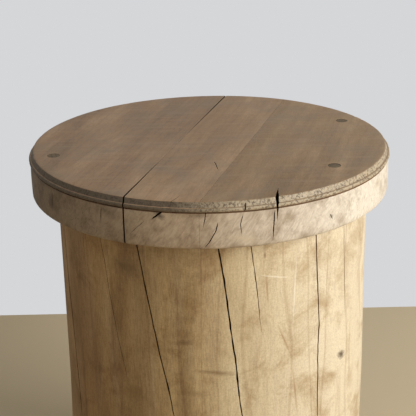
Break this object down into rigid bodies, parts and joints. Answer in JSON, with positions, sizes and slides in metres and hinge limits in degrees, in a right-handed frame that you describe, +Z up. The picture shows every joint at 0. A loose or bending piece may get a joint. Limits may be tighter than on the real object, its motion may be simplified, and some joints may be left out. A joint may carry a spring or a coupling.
{
  "type": "butter churn",
  "caption": "Round wooden churn hollowed from one log, with a thick moulded plank lid that lifts off and a cross-armed dasher inside.",
  "frame": {"origin": "on the floor, on the axis of the log", "axes": "+Z up along the log, -Y towards the front, +X to the right"},
  "size_m": [0.45, 0.45, 0.56],
  "materials": {
    "log_wood": "weathered and waxed",
    "lid_wood": "weathered and waxed",
    "base_wood": "rough sawn",
    "peg_wood": "cut end grain",
    "plug_wood": "dark end grain",
    "dasher_wood": "scrubbed and worn"
  },
  "bodies": {
    "churn": {"trunk": "log_wood", "base_board_left": "base_wood", "base_board_middle": "base_wood", "base_board_right": "base_wood", "base_dowels": "peg_wood", "base_pegs": "peg_wood"},
    "lid": {"lid_plank_left": "lid_wood", "lid_plank_middle": "lid_wood", "lid_plank_right": "lid_wood", "lid_dowels": "peg_wood", "lid_plugs": "plug_wood", "lid_batten_front": "base_wood", "lid_batten_back": "base_wood", "batten_pegs": "peg_wood"},
    "dasher": {"dasher_arm_lower": "dasher_wood", "dasher_arm_upper": "dasher_wood", "dasher_staff": "dasher_wood", "dasher_wedge": "peg_wood", "dasher_handle": "dasher_wood", "handle_peg": "peg_wood"}
  },
  "joints": [
    {"name": "lid_lift", "type": "slide", "parent": "churn", "child": "lid", "axis": [0, 0, 1], "range_m": [0, 0.25]},
    {"name": "dasher_plunge", "type": "slide", "parent": "churn", "child": "dasher", "axis": [0, 0, 1], "range_m": [0, 0.1]}
  ]
}
